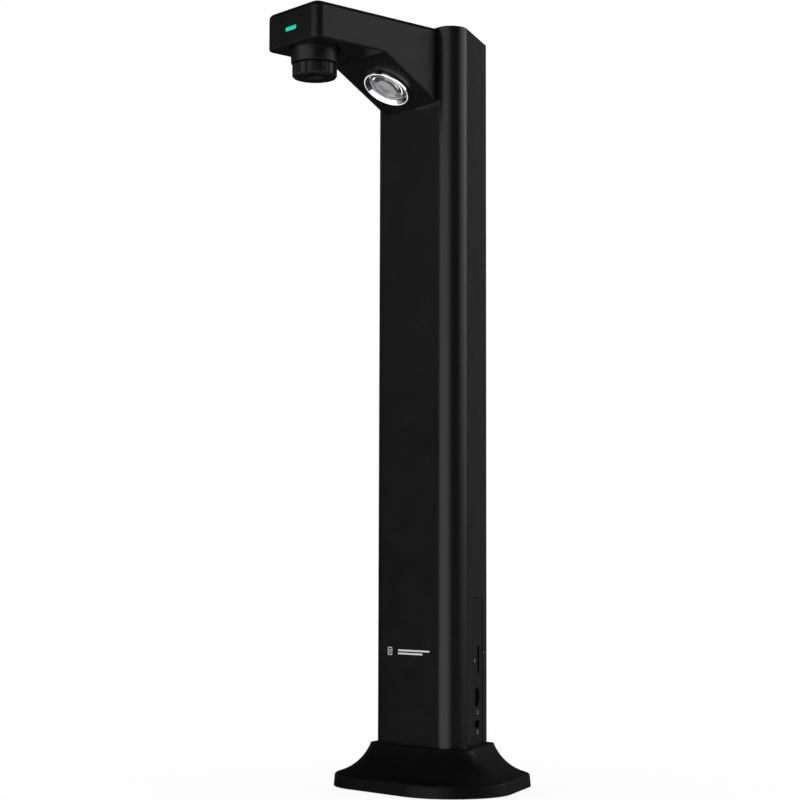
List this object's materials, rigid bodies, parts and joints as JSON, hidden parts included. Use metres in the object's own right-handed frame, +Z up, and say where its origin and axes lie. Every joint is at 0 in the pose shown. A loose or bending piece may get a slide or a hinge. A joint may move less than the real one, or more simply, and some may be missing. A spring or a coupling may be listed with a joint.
{
  "type": "document camera",
  "caption": "Desk document camera: tall tapered column on a flared base, fixed arm with a turning focus ring, a round lamp on a slanted face, and side sockets.",
  "frame": {"origin": "middle of the bounding box, on the desk under the feet", "axes": "+Z up, the arm and lens towards -Y, the socket side towards +X"},
  "size_m": [0.1004, 0.1384, 0.37],
  "materials": {
    "column_plastic": "satin moulded black ABS, light reflections with soft edges",
    "base_plastic": "satin moulded black ABS",
    "ports_plastic": "fine matte black ABS with four small engraved signs",
    "lens_plastic": "moulded black, satin",
    "foot_rubber": "matte black rubber",
    "plain_steel": "zinc-plated sheet",
    "screw_steel": "black oxide",
    "light_alloy": "bead-blasted",
    "lamp_chrome": "polished",
    "board": "green solder mask",
    "chip_black": "moulded epoxy",
    "contact_brass": "bright",
    "ribbon_white": "flat cable film",
    "lead_black": "PVC insulation",
    "lamp_led_yellow": "phosphor under clear silicone",
    "status_green": "translucent, lit green",
    "lens_glass": "coated optical glass",
    "lamp_glass": "thick clear acrylic lens"
  },
  "bodies": {
    "stand": {"base_cover": "base_plastic", "base_bottom_plate": "base_plastic", "base_ballast": "plain_steel", "foot_front_left": "foot_rubber", "foot_front_right": "foot_rubber", "foot_rear_left": "foot_rubber", "foot_rear_right": "foot_rubber", "base_screw_1": "screw_steel", "base_screw_2": "screw_steel", "base_screw_3": "screw_steel", "base_screw_4": "screw_steel", "spine_bolt_left": "plain_steel", "spine_bolt_right": "plain_steel", "spine_foot": "plain_steel", "column_front_shell": "column_plastic", "column_rear_shell": "column_plastic", "rear_screw_1": "screw_steel", "rear_screw_2": "screw_steel", "rear_screw_3": "screw_steel", "rear_screw_4": "screw_steel", "column_top_cap": "column_plastic", "column_spine": "plain_steel", "ports_panel": "ports_plastic", "main_board": "board", "processor_chip": "chip_black", "dc_jack": "chip_black", "dc_jack_pin": "contact_brass", "micro_usb_socket": "plain_steel", "micro_usb_tongue": "chip_black", "card_socket": "plain_steel", "camera_ribbon": "ribbon_white", "lamp_lead": "lead_black", "arm_upper_shell": "column_plastic", "arm_lower_cover": "column_plastic", "arm_bracket": "plain_steel", "arm_screw_front": "screw_steel", "arm_screw_rear": "screw_steel", "bracket_bolt_left": "screw_steel", "bracket_bolt_right": "screw_steel", "status_light_pipe": "status_green", "status_led": "lamp_led_yellow", "status_board": "board", "microphone_left": "light_alloy", "microphone_right": "light_alloy", "lens_barrel": "lens_plastic", "lens_mount": "chip_black", "image_sensor": "chip_black", "camera_board": "board", "lamp_bezel": "lamp_chrome", "lamp_lens": "lamp_glass", "lamp_reflector": "lamp_chrome", "lamp_led": "lamp_led_yellow", "lamp_board": "light_alloy", "lamp_heat_sink": "light_alloy"},
    "focus_ring": {"focus_ring": "lens_plastic"},
    "lens_cell": {"lens_cell": "lens_plastic", "front_lens": "lens_glass", "rear_lens": "lens_glass"}
  },
  "joints": [
    {"name": "focus_ring_turn", "type": "hinge", "parent": "stand", "child": "focus_ring", "pos_m": [0, -0.05455, 0.341], "axis": [0, 0, 1], "range_deg": [-90, 90]},
    {"name": "lens_cell_slide", "type": "slide", "parent": "stand", "child": "lens_cell", "axis": [0, 0, 1], "range_m": [-0.001, 0.001]}
  ],
  "couplings": [
    {"joint": "lens_cell_slide", "follows": "focus_ring_turn", "m_per_rad": 0.00063598}
  ]
}
